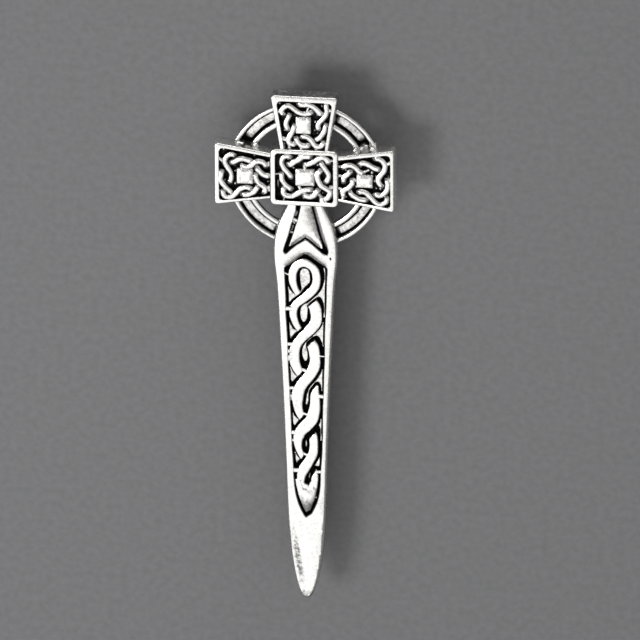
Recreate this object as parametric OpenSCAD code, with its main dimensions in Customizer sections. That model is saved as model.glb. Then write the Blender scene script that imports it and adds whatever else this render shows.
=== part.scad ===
// Kilt pin: a ringed cross whose lower arm is drawn out into a dagger blade, with its fastening behind.
// The head points to +Y, the tip to -Y and the decorated face up. The feet of the back pin stand on Z = 0.

/* [Overall] */
// Length from the face of the top arm to the tip of the blade
overall_length = 95; // [92:0.5:100]
// Height of the flat back above the surface that the pin lies on
standoff = 6.8; // [6.6:0.1:8]

/* [Cross] */
// Distance from the middle of the cross to the end of the top arm
top_reach = 15.1; // [14.8:0.1:15.8]
// Distance from the middle of the cross to the end of each side arm
side_reach = 15.5; // [14.8:0.1:16]
// Width of an arm where it meets the centre block
arm_root_w = 8.4; // [7.4:0.1:8.8]
// Width of an arm at its outer end
arm_end_w = 11.6; // [10.6:0.1:12]
// Height of the arms above the back
arm_h = 3.8; // [3:0.1:4.4]
// Width of the centre block, across the pin
block_w = 11.7; // [11.2:0.1:12.4]
// Length of the centre block, along the pin
block_l = 10.4; // [10:0.1:11.4]
// Height of the centre block above the back
block_h = 4.1; // [3.4:0.1:4.8]
// Radius of the centre block's corners
block_r = 1; // [0.4:0.1:1.6]
// Width of the raised rim round each panel
rim_w = 0.72; // [0.5:0.02:1]
// Depth of a panel's floor below its rim
panel_depth = 1; // [0.6:0.1:1.4]
// Slope of the cast side walls, in degrees from upright
draft = 3; // [1:0.5:9]
// Size of the slanted edge round the back of the arms, the centre block and the ring
back_bevel = 1.2; // [0.2:0.1:1.2]

/* [Bosses] */
// Width of a boss at its foot
boss_w = 3.2; // [2.6:0.1:3.4]
// Width of a boss at its flat top
boss_top_w = 1.9; // [1.4:0.1:2.2]

/* [Knots] */
// Width of the strands in the four square knots
strand_w = 0.7; // [0.5:0.02:0.8]
// Height of those strands above their panel's floor
strand_h = 0.8; // [0.4:0.1:1]

/* [Ring] */
// Outer diameter of the ring
ring_d = 27.2; // [26.6:0.2:28]
// Width of the ring's band
ring_w = 3.7; // [3.4:0.1:4.2]
// Height of the ring's two rims above the back
ring_h = 1.8; // [1.6:0.1:2.4]
// Distance of the ring's middle below the middle of the cross
ring_drop = 0.4; // [0:0.1:0.6]
// Width of each rim
ring_rim_w = 0.85; // [0.6:0.05:1]
// Width of the raised strip between the rims
strip_w = 1.1; // [0.8:0.1:1.3]
// Depth of the strip's top below the rims
strip_drop = 0.9; // [0.4:0.05:1]
// Depth of the grooves beside the strip
ring_groove = 1.1; // [0.7:0.1:1.2]

/* [Blade] */
// Height of the blade's face above the back
blade_h = 2.9; // [2.4:0.1:3.4]
// Depth of the knot panel's floor below the blade's face
twist_depth = 0.8; // [0.5:0.1:1]
// Width of a twist strand at the top of the blade
twist_w_top = 1.95; // [1.6:0.05:2.1]
// Width of a twist strand at the foot of the knot panel
twist_w_foot = 1.4; // [1.1:0.05:1.5]
// Height of the twist above its panel's floor
twist_h = 0.6; // [0.4:0.1:0.7]
// Width of the grooves round the arrowhead
arrow_groove_w = 0.45; // [0.3:0.05:0.6]

/* [Back pin] */
// Diameter of the stem
stem_d = 1.4; // [1.2:0.1:1.6]
// Height of the stem's axis above the surface
stem_z = 1.5; // [1.4:0.1:1.7]
// Distance from the cross's middle down to the hinge block's upper face
hinge_y = -1; // [-3:0.5:1]
// Width of the hinge block
hinge_w = 6; // [5:0.5:7]
// Length of the hinge block along the pin
hinge_l = 4; // [3:0.5:5]
// Distance from the cross's middle down to the middle of the catch
catch_y = 58; // [54:1:62]
// Length of the catch along the pin
catch_l = 4.4; // [3:0.2:6]
// Thickness of the catch's wall
catch_t = 1; // [0.8:0.1:1.2]
// Height of the catch's free lip
catch_lip = 2.6; // [2.3:0.1:3.2]
// Clearance between the stem and the sides of the catch
catch_play = 0.3; // [0.2:0.05:0.5]
// Gap between the back pin's two feet and the flat back
seat_gap = 0.05; // [0.02:0.01:0.2]
// Length of the stem's tapered point, which starts at the middle of the catch
point_l = 5.5; // [4:0.5:8]

/* [Hidden] */
$fn = 72;
eps = 0.01;
lean_arm = (arm_h - back_bevel) * tan(draft);
lean_block = (block_h - back_bevel) * tan(draft);
head_reach = top_reach + lean_arm;
blade_reach = overall_length - head_reach;
cross_y = overall_length / 2 - head_reach;
ring_r = ring_d / 2;
stem_r = stem_d / 2;
seat_z = standoff - seat_gap;

// Blade outline: fraction of the way from the cross's middle to the tip, width
BLADE = [
    [0.055, 5.8],
    [0.072, 6.4],
    [0.103, 8.8],
    [0.124, 9.95],
    [0.152, 10.75],
    [0.176, 11.05],
    [0.207, 10.95],
    [0.260, 10.1],
    [0.342, 9.4],
    [0.508, 8.2],
    [0.674, 7.25],
    [0.752, 6.85],
    [0.841, 6.3],
    [0.878, 5.85],
    [0.905, 5.35],
    [0.940, 4.4],
    [0.963, 3.65],
    [0.983, 2.65],
    [0.995, 1.55],
    [1.000, 0.5]
];

// Knot panel outline: fraction of the way to the tip, width
TWIST_PANEL = [
    [0.182, 0.3],
    [0.220, 7.2],
    [0.342, 6.95],
    [0.508, 5.9],
    [0.674, 4.95],
    [0.710, 4.7],
    [0.747, 4.15],
    [0.780, 2.9],
    [0.803, 1.3],
    [0.813, 0.3]
];

// Square knot, as parts of its panel's half length: mean radius of a strand, how far it swings out at corners
SQUARE_KNOT = [
    [0.82, 0.30],
    [0.80, -0.06]
];
// How much the knot on an arm widens for each millimetre towards the arm's end
ARM_FLARE = 0.034;

// Twist: fraction of the way to the tip where its strands cross, half its width in the eye that follows
TWIST = [
    [0.207, 2.1],
    [0.287, 2.0],
    [0.380, 1.8],
    [0.484, 1.6],
    [0.594, 1.35],
    [0.679, 1.0],
    [0.757, 0.5]
];
TWIST_END = 0.79;

// Arrowhead panel: distance across and fraction of the way to the tip
ARROW_TOP = [1.0, 0.055];
ARROW_BARB = [3.6, 0.184];
ARROW_NOTCH = [0, 0.148];

// Distance down the pin for a fraction of the blade
function down(f) = -f * blade_reach;

// Both sides of a row table as one closed outline
function outline(rows) = concat(
    [for (r = rows) [r[1] / 2, down(r[0])]],
    [for (r = reversed(rows)) [-r[1] / 2, down(r[0])]]
);

// A point of a square knot's strand in direction a, w to one side of its middle.
// The strand's radius is its mean radius at 22.5 degrees, and "lobe" more at the corners.
// The whole is stretched across by wide, and flare widens it towards +Y.
function knot_point(a, mean, lobe, w, wide, flare) =
    let (
        r = mean - lobe * cos(4 * a),
        slope = 4 * lobe * sin(4 * a),
        n = sqrt(r * r + slope * slope),
        x = r * cos(a) + w * (r * cos(a) + slope * sin(a)) / n,
        y = r * sin(a) + w * (r * sin(a) - slope * cos(a)) / n
    )
    [wide * x * (1 + flare * y), y];

// A point of the twist at fraction t of eye k, on one side of the blade
function twist_point(side, k, t) =
    let (
        a = TWIST[k][0],
        b = k + 1 < len(TWIST) ? TWIST[k + 1][0] : TWIST_END,
        f = k == 0 ? a + (b - a) * (1 - cos(90 * t)) : a + (b - a) * t
    )
    [side * TWIST[k][1] * sin(180 * t) * (k % 2 == 0 ? 1 : -1), down(f)];

// Half the strand's width at distance y along the blade
function twist_half(y) =
    lookup(-y / blade_reach, [[TWIST[0][0], twist_w_top / 2], [TWIST_END, twist_w_foot / 2]]);

// The edge of the twist strand that runs through these points, on its left (1) or right (-1)
function twist_edge(points, hand) = [
    for (i = [0:len(points) - 1])
        let (d = points[min(i + 1, len(points) - 1)] - points[max(i - 1, 0)])
        points[i] + hand * twist_half(points[i][1]) * [-d[1], d[0]] / norm(d)
];

function reversed(list) = [for (i = [len(list) - 1:-1:0]) list[i]];

// Half the width at y of an arm that runs from the centre block at y = root to y = reach
function arm_half(root, reach, y) =
    (arm_root_w + (arm_end_w - arm_root_w) * (y - root) / (reach - root)) / 2;

// That arm's outline from y0 to its end, with its sides and its end moved out by "out"
module arm_outline(root, reach, y0, out) {
    end = reach + out;
    polygon([
        [-arm_half(root, reach, y0) - out, y0],
        [arm_half(root, reach, y0) + out, y0],
        [arm_half(root, reach, end) + out, end],
        [-arm_half(root, reach, end) - out, end]
    ]);
}

module boss(z) {
    translate([0, 0, z])
        rotate(45)
            cylinder(h = panel_depth, d1 = boss_w * sqrt(2), d2 = boss_top_w * sqrt(2), $fn = 4);
}

// The two strands of a square knot: one swings out at the corners, the other at the middle of each side
module square_knot(half_x, half_y, flare, z) {
    turns = 48;
    for (strand = SQUARE_KNOT) {
        mean = strand[0] * half_y;
        lobe = strand[1] * half_y;
        translate([0, 0, z])
            linear_extrude(strand_h)
                difference() {
                    polygon([for (i = [0:turns - 1])
                        knot_point(360 * i / turns, mean, lobe, strand_w / 2, half_x / half_y, flare)]);
                    polygon([for (i = [0:turns - 1])
                        knot_point(360 * i / turns, mean, lobe, -strand_w / 2, half_x / half_y, flare)]);
                }
    }
}

// A thin slice at height z, for a cast shape's hull
module slice(z) {
    translate([0, 0, z])
        linear_extrude(eps)
            children();
}

// One arm, pointing to +Y, from the centre block at y = root to y = reach.
// Its walls lean out from the front down to the slanted edge round its back.
module arm(root, reach) {
    panel_end = reach - rim_w;
    middle = (root + panel_end) / 2;
    half_x = arm_half(root, reach, middle) - rim_w;
    floor_z = arm_h - panel_depth;
    difference() {
        hull() {
            slice(0)
                arm_outline(root, reach, root - rim_w, lean_arm - back_bevel);
            slice(back_bevel)
                arm_outline(root, reach, root - rim_w, lean_arm);
            slice(arm_h - eps)
                arm_outline(root, reach, root - rim_w, 0);
        }
        translate([0, 0, floor_z])
            linear_extrude(panel_depth + eps)
                arm_outline(root, reach, root, -rim_w);
    }
    translate([0, middle]) {
        boss(floor_z - eps);
        square_knot(half_x, (panel_end - root) / 2, ARM_FLARE, floor_z - eps);
    }
}

module centre_block() {
    half_w = block_w / 2;
    half_l = block_l / 2;
    floor_z = block_h - panel_depth;
    difference() {
        hull() {
            slice(0)
                rounded(half_w + lean_block - back_bevel, half_l + lean_block - back_bevel, block_r);
            slice(back_bevel)
                rounded(half_w + lean_block, half_l + lean_block, block_r);
            slice(block_h - eps)
                rounded(half_w, half_l, block_r);
        }
        translate([0, 0, floor_z])
            linear_extrude(panel_depth + eps)
                rounded(half_w - rim_w, half_l - rim_w, block_r / 2);
    }
    boss(floor_z - eps);
    square_knot(half_w - rim_w, half_l - rim_w, 0, floor_z - eps);
}

// A rectangle with round corners
module rounded(half_x, half_y, r) {
    square([2 * half_x, 2 * (half_y - r)], center = true);
    square([2 * (half_x - r), 2 * half_y], center = true);
    for (x = [-1, 1], y = [-1, 1])
        translate([x * (half_x - r), y * (half_y - r)])
            circle(r = r, $fn = 32);
}

// Ring: two rims with a lower strip between them
module ring() {
    inner = ring_r - ring_w;
    strip_in = (ring_r + inner - strip_w) / 2;
    rotate_extrude()
        polygon([
            [inner + back_bevel, 0],
            [ring_r - back_bevel, 0],
            [ring_r, back_bevel],
            [ring_r, ring_h],
            [ring_r - ring_rim_w, ring_h],
            [ring_r - ring_rim_w, ring_h - ring_groove],
            [strip_in + strip_w, ring_h - ring_groove],
            [strip_in + strip_w, ring_h - strip_drop],
            [strip_in, ring_h - strip_drop],
            [strip_in, ring_h - ring_groove],
            [inner + ring_rim_w, ring_h - ring_groove],
            [inner + ring_rim_w, ring_h],
            [inner, ring_h],
            [inner, back_bevel]
        ]);
}

// A straight groove from a to b with round ends
module groove(a, b, w) {
    d = b - a;
    translate(a)
        rotate(atan2(d[1], d[0]))
            translate([0, -w / 2])
                square([norm(d), w]);
    translate(a)
        circle(d = w, $fn = 24);
    translate(b)
        circle(d = w, $fn = 24);
}

module blade() {
    top = [ARROW_TOP[0], down(ARROW_TOP[1])];
    barb = [ARROW_BARB[0], down(ARROW_BARB[1])];
    notch = [ARROW_NOTCH[0], down(ARROW_NOTCH[1])];
    floor_z = blade_h - twist_depth;
    difference() {
        linear_extrude(blade_h)
            polygon(outline(BLADE));
        translate([0, 0, floor_z])
            linear_extrude(twist_depth + eps)
                polygon(outline(TWIST_PANEL));
        for (side = [-1, 1])
            translate([0, 0, floor_z])
                linear_extrude(twist_depth + eps) {
                    groove([side * top[0], top[1]], [side * barb[0], barb[1]], arrow_groove_w);
                    groove([side * barb[0], barb[1]], notch, arrow_groove_w);
                }
    }
}

// The two-strand twist on the blade, closed in a loop at its top
module twist() {
    steps = 8;
    for (side = [-1, 1]) {
        line = [for (k = [0:len(TWIST) - 1], i = [(k == 0 ? 0 : 1):steps]) twist_point(side, k, i / steps)];
        translate([0, 0, blade_h - twist_depth - eps])
            linear_extrude(twist_h)
                polygon(concat(twist_edge(line, 1), reversed(twist_edge(line, -1))));
    }
}

module cross_blade_casting() {
    color("gainsboro")
        translate([0, cross_y, standoff]) {
            translate([0, -ring_drop, 0])
                ring();
            arm(block_l / 2, top_reach);
            for (turn = [90, -90])
                rotate(turn)
                    arm(block_w / 2, side_reach);
            centre_block();
            blade();
            twist();
        }
}

module hinge_block() {
    translate([-hinge_w / 2, -hinge_l, 0])
        cube([hinge_w, hinge_l, seat_z]);
}

module stem() {
    straight = catch_y + hinge_y - hinge_l / 2;
    translate([0, -hinge_l / 2, stem_z])
        rotate([90, 0, 0]) {
            cylinder(h = straight, r = stem_r);
            translate([0, 0, straight])
                cylinder(h = point_l, r1 = stem_r, r2 = stem_r / 5);
        }
}

// Catch: a C that opens to one side and holds the stem in its foot
module catch() {
    foot = stem_z - stem_r + eps;
    half = stem_r + catch_play;
    translate([0, catch_l / 2, 0])
        rotate([90, 0, 0])
            linear_extrude(catch_l) {
                translate([half, 0])
                    square([catch_t, seat_z]);
                translate([-half - catch_t, 0])
                    square([2 * half + catch_t + eps, foot]);
                translate([-half - catch_t, 0])
                    square([catch_t, catch_lip]);
            }
}

module back_pin() {
    color("silver")
        translate([0, cross_y, 0]) {
            translate([0, hinge_y, 0]) {
                hinge_block();
                stem();
            }
            translate([0, -catch_y, 0])
                catch();
        }
}

cross_blade_casting();
back_pin();
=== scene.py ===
"""Kilt pin: a ringed interlace cross drawn out into a dagger blade, cast and antique-silver plated, with a steel
pin behind. Shapes are worked in millimetres from the middle of the cross on the casting's flat back."""

from math import cos, hypot, pi, radians, sin, tan

import bmesh
import bpy
from mathutils import Matrix, Vector, noise


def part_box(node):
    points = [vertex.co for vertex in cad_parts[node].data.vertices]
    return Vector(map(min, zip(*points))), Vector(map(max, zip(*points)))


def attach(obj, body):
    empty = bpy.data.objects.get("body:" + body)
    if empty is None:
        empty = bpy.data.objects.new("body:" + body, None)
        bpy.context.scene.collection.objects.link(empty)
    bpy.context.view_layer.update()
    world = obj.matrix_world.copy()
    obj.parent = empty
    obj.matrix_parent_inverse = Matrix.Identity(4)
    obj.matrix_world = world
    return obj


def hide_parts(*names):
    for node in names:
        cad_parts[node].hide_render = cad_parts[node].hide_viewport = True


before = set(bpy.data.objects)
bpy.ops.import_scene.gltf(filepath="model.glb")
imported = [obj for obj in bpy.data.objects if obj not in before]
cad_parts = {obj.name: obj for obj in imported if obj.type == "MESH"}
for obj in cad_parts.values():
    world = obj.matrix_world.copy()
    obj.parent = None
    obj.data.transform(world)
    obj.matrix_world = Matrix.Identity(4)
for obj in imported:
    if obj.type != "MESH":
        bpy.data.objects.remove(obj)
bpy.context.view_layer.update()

MM = 0.001
CASTING, BACK_PIN = "cross_blade_casting", "back_pin"
HEAD_REACH = 15.236  # from the middle of the cross to the foot of the top arm's end wall
casting_low, casting_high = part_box(CASTING)
CROSS = Vector((0, casting_high.y / MM - HEAD_REACH, casting_low.z / MM))

# Heights over the flat back: the arms, the centre block, the ring and the blade's face
ARM_TOP, BLOCK_TOP, RING_TOP, FACE = 3.8, 4.1, 1.8, 2.9
PANEL_DEPTH = 1.0  # of the cross's sunk panels
TWIST_FLOOR = FACE - 0.8  # floor of the blade's sunk panels
DRAFT = tan(radians(3))  # lean of the cast side walls
BACK_EDGE = 1.2  # slanted edge round the back of the arms, the block and the ring
RING_MIDDLE = -0.4  # the ring is cast a little below the middle of the cross
SAME_POINT = 1e-4  # points nearer than this are merged
SHARP_FROM = radians(38)  # an edge that turns by more is drawn sharp


# ---- mesh making

def eased(x, low, high):
    """0 below low and 1 above high, smooth between; low may be the greater."""
    t = min(1, max(0, (x - low) / (high - low)))
    return t * t * (3 - 2 * t)


def smooth_path(points, steps):
    """A smooth curve through the points, in this many steps from each to the next."""
    last = len(points) - 1
    path = []
    for i in range(last):
        a, b, c, d = (points[min(max(k, 0), last)] for k in range(i - 1, i + 3))
        for k in range(steps):
            t = k / steps
            path.append(tuple(
                0.5 * (2 * q + (r - p) * t + (2 * p - 5 * q + 4 * r - s) * t * t
                       + (3 * q - p - 3 * r + s) * t ** 3)
                for p, q, r, s in zip(a, b, c, d)))
    return path + [tuple(points[-1])]


def rounded(corners, radius=0, steps=5):
    """A closed outline with its corners rounded. A corner's third value is a radius of its own."""
    outline = []
    for i, corner in enumerate(corners):
        here, before, after = (Vector(p[:2]) for p in (corner, corners[i - 1], corners[(i + 1) % len(corners)]))
        r = corner[2] if len(corner) > 2 else radius
        if not r:
            outline.append(tuple(here))
            continue
        a, b = before - here, after - here
        cut = min(r / tan(a.angle(b) / 2), 0.48 * a.length, 0.48 * b.length)
        start, end = here + a.normalized() * cut, here + b.normalized() * cut
        for t in (k / steps for k in range(steps + 1)):
            outline.append(tuple((1 - t) ** 2 * start + 2 * t * (1 - t) * here + t * t * end))
    return outline


def rectangle(half_x, half_y, radius, y=0):
    """A rectangle with rounded corners, its middle at this y."""
    low, high = y - half_y, y + half_y
    return rounded([(-half_x, low), (half_x, low), (half_x, high), (-half_x, high)], radius)


def anticlockwise(outline):
    area = sum(a[0] * b[1] - b[0] * a[1] for a, b in zip(outline, outline[1:] + outline[:1]))
    return outline if area > 0 else outline[::-1]


def new_mesh():
    bm = bmesh.new()
    bm.verts.layers.float.new("patina")
    bm.verts.layers.int.new("order")
    return bm


def extruded(bm, edges):
    """Extrudes the edges without moving them. Returns the new vertices and edges."""
    made = bmesh.ops.extrude_edge_only(bm, edges=edges)["geom"]
    return [[g for g in made if isinstance(g, kind)] for kind in (bmesh.types.BMVert, bmesh.types.BMEdge)]


def wall(bm, outline, profile):
    """A wall up a closed outline, whose points may carry the width of a slope as a third value. Each row of the
    profile: distance into the metal, height, patina and the share of that slope. Returns the edges of its first
    and last row."""
    patina, order = bm.verts.layers.float["patina"], bm.verts.layers.int["order"]
    n = len(outline)
    points = [Vector(p[:2]) for p in outline]
    slopes = [p[2] if len(p) > 2 else 0 for p in outline]
    inward = []
    for i, here in enumerate(points):
        a, b = (here - points[i - 1]).normalized(), (points[(i + 1) % n] - here).normalized()
        na, nb = Vector((-a.y, a.x)), Vector((-b.y, b.x))
        m = (na + nb).normalized()
        inward.append(m / max(0.5, m.dot(na)))
    edges, ends = [], []
    for row, (inset, z, tone, *share) in enumerate(profile):
        if row == 0:
            verts = [bm.verts.new((0, 0, 0)) for _ in points]
            for i, v in enumerate(verts):
                v[order] = i
            edges = [bm.edges.new((verts[i - 1], verts[i])) for i in range(n)]
            ends.append(edges)
        else:
            verts, edges = extruded(bm, edges)
        for v in verts:
            i = v[order]
            p = points[i] + inward[i] * (inset + sum(share) * slopes[i])
            v.co = (p.x, p.y, z)
            v[patina] = tone
    ends.append(edges)
    return ends


def cap(bm, edges, up=True):
    bmesh.ops.triangle_fill(bm, use_beauty=True, edges=edges, normal=(0, 0, 1 if up else -1))


def slab(bm, outline, profile, hollows=(), hollow_profile=()):
    """A closed body on an outline, flat above and below, with sunk panels in its top."""
    low, high = wall(bm, anticlockwise(outline), profile)
    cap(bm, low, up=False)
    face = list(high)
    for hollow in hollows:
        ground, lip = wall(bm, anticlockwise(hollow)[::-1], hollow_profile)
        cap(bm, ground)
        face += lip
    cap(bm, face)


BURIED = -1.15  # a strand's foot, below its top: it runs into the panel's floor


def both_flanks(rows):
    """A strand's section from the rows of its left flank, and the middle."""
    return rows + [(-across, *rest) for across, *rest in reversed(rows) if across]


def straight(ax, ay, bx, by, shares, *rest):
    """Stations of a straight strand, at these shares of its length."""
    return [(ax + (bx - ax) * t, ay + (by - ay) * t, *rest) for t in shares]


def strand(bm, path, section):
    """A cast strand along a path of (x, y, height of its top, width, patina). The section's rows: distance from
    the middle line as a part of the width, height from the top, patina, share of the path's own patina."""
    patina, order = bm.verts.layers.float["patina"], bm.verts.layers.int["order"]
    verts = bmesh.ops.create_circle(bm, segments=len(section), radius=1)["verts"]
    for k, v in enumerate(verts):
        v[order] = k
    edges = list(dict.fromkeys(e for v in verts for e in v.link_edges))
    first = edges
    for i, (x, y, top, width, tone) in enumerate(path):
        before, after = path[max(i - 1, 0)], path[min(i + 1, len(path) - 1)]
        dx, dy = after[0] - before[0], after[1] - before[1]
        size = hypot(dx, dy)
        side = Vector((-dy / size, dx / size))
        if i:
            verts, edges = extruded(bm, edges)
        for v in verts:
            across, drop, own, share = section[v[order]]
            p = Vector((x, y)) + side * across * width
            v.co = (p.x, p.y, top + drop)
            v[patina] = min(1, own + tone * share)
    for end in (first, edges):
        bmesh.ops.holes_fill(bm, edges=end, sides=0)


def weather(bm, amount=0.04, grain=1.6):
    """Moves the surface a little, as hand-cut wax and casting leave it, in waves of this grain."""
    for v in bm.verts:
        x, y, z = (noise.noise(v.co / grain + Vector(away)) for away in ((0, 0, 0), (9, 0, 0), (0, 9, 0)))
        v.co += amount * Vector((x, y, 0.6 * z))


def into_scene(name, data):
    made = bpy.data.objects.new(name, data)
    bpy.context.scene.collection.objects.link(made)
    return made


def finished(bm, name, material):
    """The mesh as an object of the scene."""
    mesh = bpy.data.meshes.new(name)
    bm.to_mesh(mesh)
    bm.free()
    mesh.materials.append(material)
    return into_scene(name, mesh)


def part(bm, name, material, node, origin):
    """Makes the mesh a piece of the pin, in metres, in its place and nowhere outside its CAD node's box."""
    bmesh.ops.remove_doubles(bm, verts=bm.verts, dist=SAME_POINT)
    bmesh.ops.recalc_face_normals(bm, faces=bm.faces)
    bm.verts.layers.int.remove(bm.verts.layers.int["order"])
    bmesh.ops.translate(bm, verts=bm.verts, vec=origin)
    bmesh.ops.scale(bm, verts=bm.verts, vec=(MM, MM, MM))
    low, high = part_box(node)
    for v in bm.verts:
        v.co = [min(max(c, a), b) for c, a, b in zip(v.co, low, high)]
    piece = finished(bm, name, material)
    piece.data.polygons.foreach_set("use_smooth", [True] * len(piece.data.polygons))
    piece.data.set_sharp_from_angle(angle=SHARP_FROM)
    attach(piece, "root")
    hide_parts(node)


# ---- materials

def linear(hex_colour):
    """An sRGB hex colour as linear RGBA."""
    parts = [int(hex_colour[i:i + 2], 16) / 255 for i in (0, 2, 4)]
    return [c / 12.92 if c <= 0.04045 else ((c + 0.055) / 1.055) ** 2.4 for c in parts] + [1.0]


def add(tree, kind, sockets=None, **settings):
    """Adds a shader node with its settings. A socket takes a value, an output, or a node for its first output."""
    made = tree.nodes.new("ShaderNode" + kind)
    for key, value in settings.items():
        setattr(made, key, value)
    for key, value in (sockets or {}).items():
        if isinstance(value, bpy.types.Node):
            value = value.outputs[0]
        if isinstance(value, bpy.types.NodeSocket):
            tree.links.new(value, made.inputs[key])
        else:
            made.inputs[key].default_value = value
    return made


def noise_texture(tree, place, mm, detail, rough=0.5):
    """Noise whose grains are this many millimetres wide."""
    return add(tree, "TexNoise", {"Vector": place, "Scale": 1 / (mm * MM), "Detail": detail, "Roughness": rough})


def remap(tree, value, low, high, to_low=0.0, to_high=1.0):
    """Maps one range of a value onto another and holds it within that."""
    return add(tree, "MapRange", {
        "Value": value, "From Min": low, "From Max": high, "To Min": to_low, "To Max": to_high})


def set_stops(ramp, stops):
    """Gives a colour ramp its stops, each a place and a colour."""
    for at, _ in stops[2:]:
        ramp.elements.new(at)
    for stop, (at, colour) in zip(ramp.elements, stops):
        stop.position, stop.color = at, linear(colour)


def new_material(name):
    material = bpy.data.materials.new(name)
    material.use_nodes = True
    material.node_tree.nodes.clear()
    return material, material.node_tree


def metal(tree, colour, rough, bump):
    """Ends a material in bare metal."""
    surface = add(tree, "BsdfPrincipled", {
        "Base Color": colour, "Metallic": 1.0, "Roughness": rough, "Normal": bump})
    add(tree, "OutputMaterial", {"Surface": surface})


# The black stain on the left of the blade's end: middle, turn and half size
STAIN_X, STAIN_Y = -1.5, -71.9
STAIN_TURN, STAIN_REACH = 0.15, (0.85, 7.0, 1.0)


def antique_silver():
    """Silver plate over a zinc casting, blackened and then wiped and tumbled: the high places are bright and a
    little mottled, the side walls grey, and the recesses keep a matt black patina."""
    material, tree = new_material("antique_silver")
    place = add(tree, "TexCoord").outputs["Object"]
    patina = add(tree, "Attribute", attribute_name="patina").outputs["Fac"]
    # Fine specks and wide clouds make the patina a little uneven
    grain = noise_texture(tree, place, 0.5, 4.0, 0.62)
    cloud = noise_texture(tree, place, 2.6, 2.0)
    specks = add(tree, "Math", {0: grain, 1: 0.8, 2: -0.4}, operation="MULTIPLY_ADD")
    drift = add(tree, "Math", {0: cloud, 1: 0.2, 2: -0.11}, operation="MULTIPLY_ADD")
    # The stain fades outwards and is broken up by pits of about a third of a millimetre
    spread = add(tree, "Mapping", {
        "Vector": place, "Location": [c * MM for c in (CROSS.x + STAIN_X, CROSS.y + STAIN_Y, CROSS.z + FACE)],
        "Rotation": (0, 0, STAIN_TURN), "Scale": [c * MM for c in STAIN_REACH]}, vector_type="TEXTURE")
    far = add(tree, "VectorMath", {0: spread}, operation="LENGTH")
    patch = remap(tree, far.outputs["Value"], 1.0, 0.35)
    pits = noise_texture(tree, place, 0.34, 2.0)
    pitted = remap(tree, pits, 0.34, 0.68, 0.2, 0.48)
    stain = add(tree, "Math", {0: patch, 1: pitted, 2: specks}, operation="MULTIPLY_ADD")
    both = add(tree, "Math", {0: stain, 1: drift}, operation="ADD")
    depth = add(tree, "Math", {0: patina, 1: both}, operation="ADD", use_clamp=True)
    colour = add(tree, "ValToRGB", {"Fac": depth})
    # Bright plate, grey side walls, black recesses
    set_stops(colour.color_ramp,
              ((0.0, "F4F3F0"), (0.14, "E2E1DE"), (0.34, "9A9998"), (0.58, "3A3A3B"), (0.85, "0D0D0E")))
    rough = remap(tree, depth, 0.0, 0.8, 0.26, 0.62)
    dents = noise_texture(tree, place, 0.9, 3.0, 0.55)
    bump = add(tree, "Bump", {"Height": dents, "Strength": 0.5, "Distance": 0.06 * MM})
    metal(tree, colour, rough, bump)
    return material


def pin_steel():
    """Drawn and lightly brushed steel: an even satin grey with fine lines along the pin."""
    material, tree = new_material("pin_steel")
    place = add(tree, "TexCoord").outputs["Object"]
    along = add(tree, "Mapping", {"Vector": place, "Scale": (1.0, 0.04, 1.0)})
    lines = noise_texture(tree, along, 0.15, 3.0)
    colour = add(tree, "ValToRGB", {"Fac": lines})
    set_stops(colour.color_ramp, ((0.3, "B4B5B6"), (0.7, "D6D6D5")))
    rough = remap(tree, lines, 0.0, 1.0, 0.24, 0.42)
    bump = add(tree, "Bump", {"Height": lines, "Strength": 0.2, "Distance": 0.01 * MM})
    metal(tree, colour, rough, bump)
    return material


SILVER, STEEL = antique_silver(), pin_steel()


def silver(bm, name):
    part(bm, name, SILVER, CASTING, CROSS)


# ---- cross

ARM_ROOT_HALF, ARM_END_HALF = 4.2, 5.8
BLOCK_HALF_X, BLOCK_HALF_Y = 5.85, 5.2
RING_INNER, RING_OUTER = 9.92, 13.6


def rim_profile(top, tone=0.33):
    """Outer wall of an arm or the block, from the back up over the rounded edge of its rim."""
    lean, back = (top - BACK_EDGE) * DRAFT, BACK_EDGE
    return [
        (-lean + back, 0, tone), (-lean + back * 0.3, back * 0.3, tone * 0.5), (-lean, back, tone * 0.8),
        (-lean * 0.5, (back + top) / 2, tone), (-0.02, top - 0.24, tone), (0.02, top - 0.11, 0.1),
        (0.09, top - 0.03, 0.02), (0.18, top, 0.0)]


def panel_profile(top):
    """Wall of a sunk panel, from its floor up over the edge of the rim."""
    return [(-0.05, top - PANEL_DEPTH, 0.8), (0, top - PANEL_DEPTH * 0.5, 0.95), (0.02, top - 0.2, 0.5),
            (0.06, top - 0.08, 0.12), (0.14, top, 0.0)]


def arm(name, turn, root, reach, rims, tone):
    """One arm of the cross with its sunk panel, open towards the block. The rims: left, right, end. The tone is the
    patina of its outer walls, set per arm partly as painted light and shade.
    """
    left, right, end_rim = rims

    def half(y, rim=0.0):
        return ARM_ROOT_HALF + (ARM_END_HALF - ARM_ROOT_HALF) * (y - root) / (reach - root) - rim
    sides = [root + 0.8 * k for k in range(11)]  # points along the walls, for weather() to move
    end, buried, panel_start = reach - end_rim, root - 0.7, root - 0.35
    outline = rounded(
        [(-half(root), buried), (half(root), buried)] + [(half(y), y) for y in sides]
        + [(half(reach), reach, 0.6), (-half(reach), reach, 0.6)] + [(-half(y), y) for y in sides[::-1]])
    hollow = rounded([
        (-half(root, left), panel_start, 0.2), (half(root, right), panel_start, 0.2),
        (half(end, right), end, 0.8), (-half(end, left), end, 0.8)])
    bm = new_mesh()
    slab(bm, outline, rim_profile(ARM_TOP, tone), [hollow], panel_profile(ARM_TOP))
    bmesh.ops.rotate(bm, verts=bm.verts, matrix=Matrix.Rotation(radians(turn), 3, "Z"))
    weather(bm, 0.03, 1.1)
    silver(bm, name)


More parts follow.
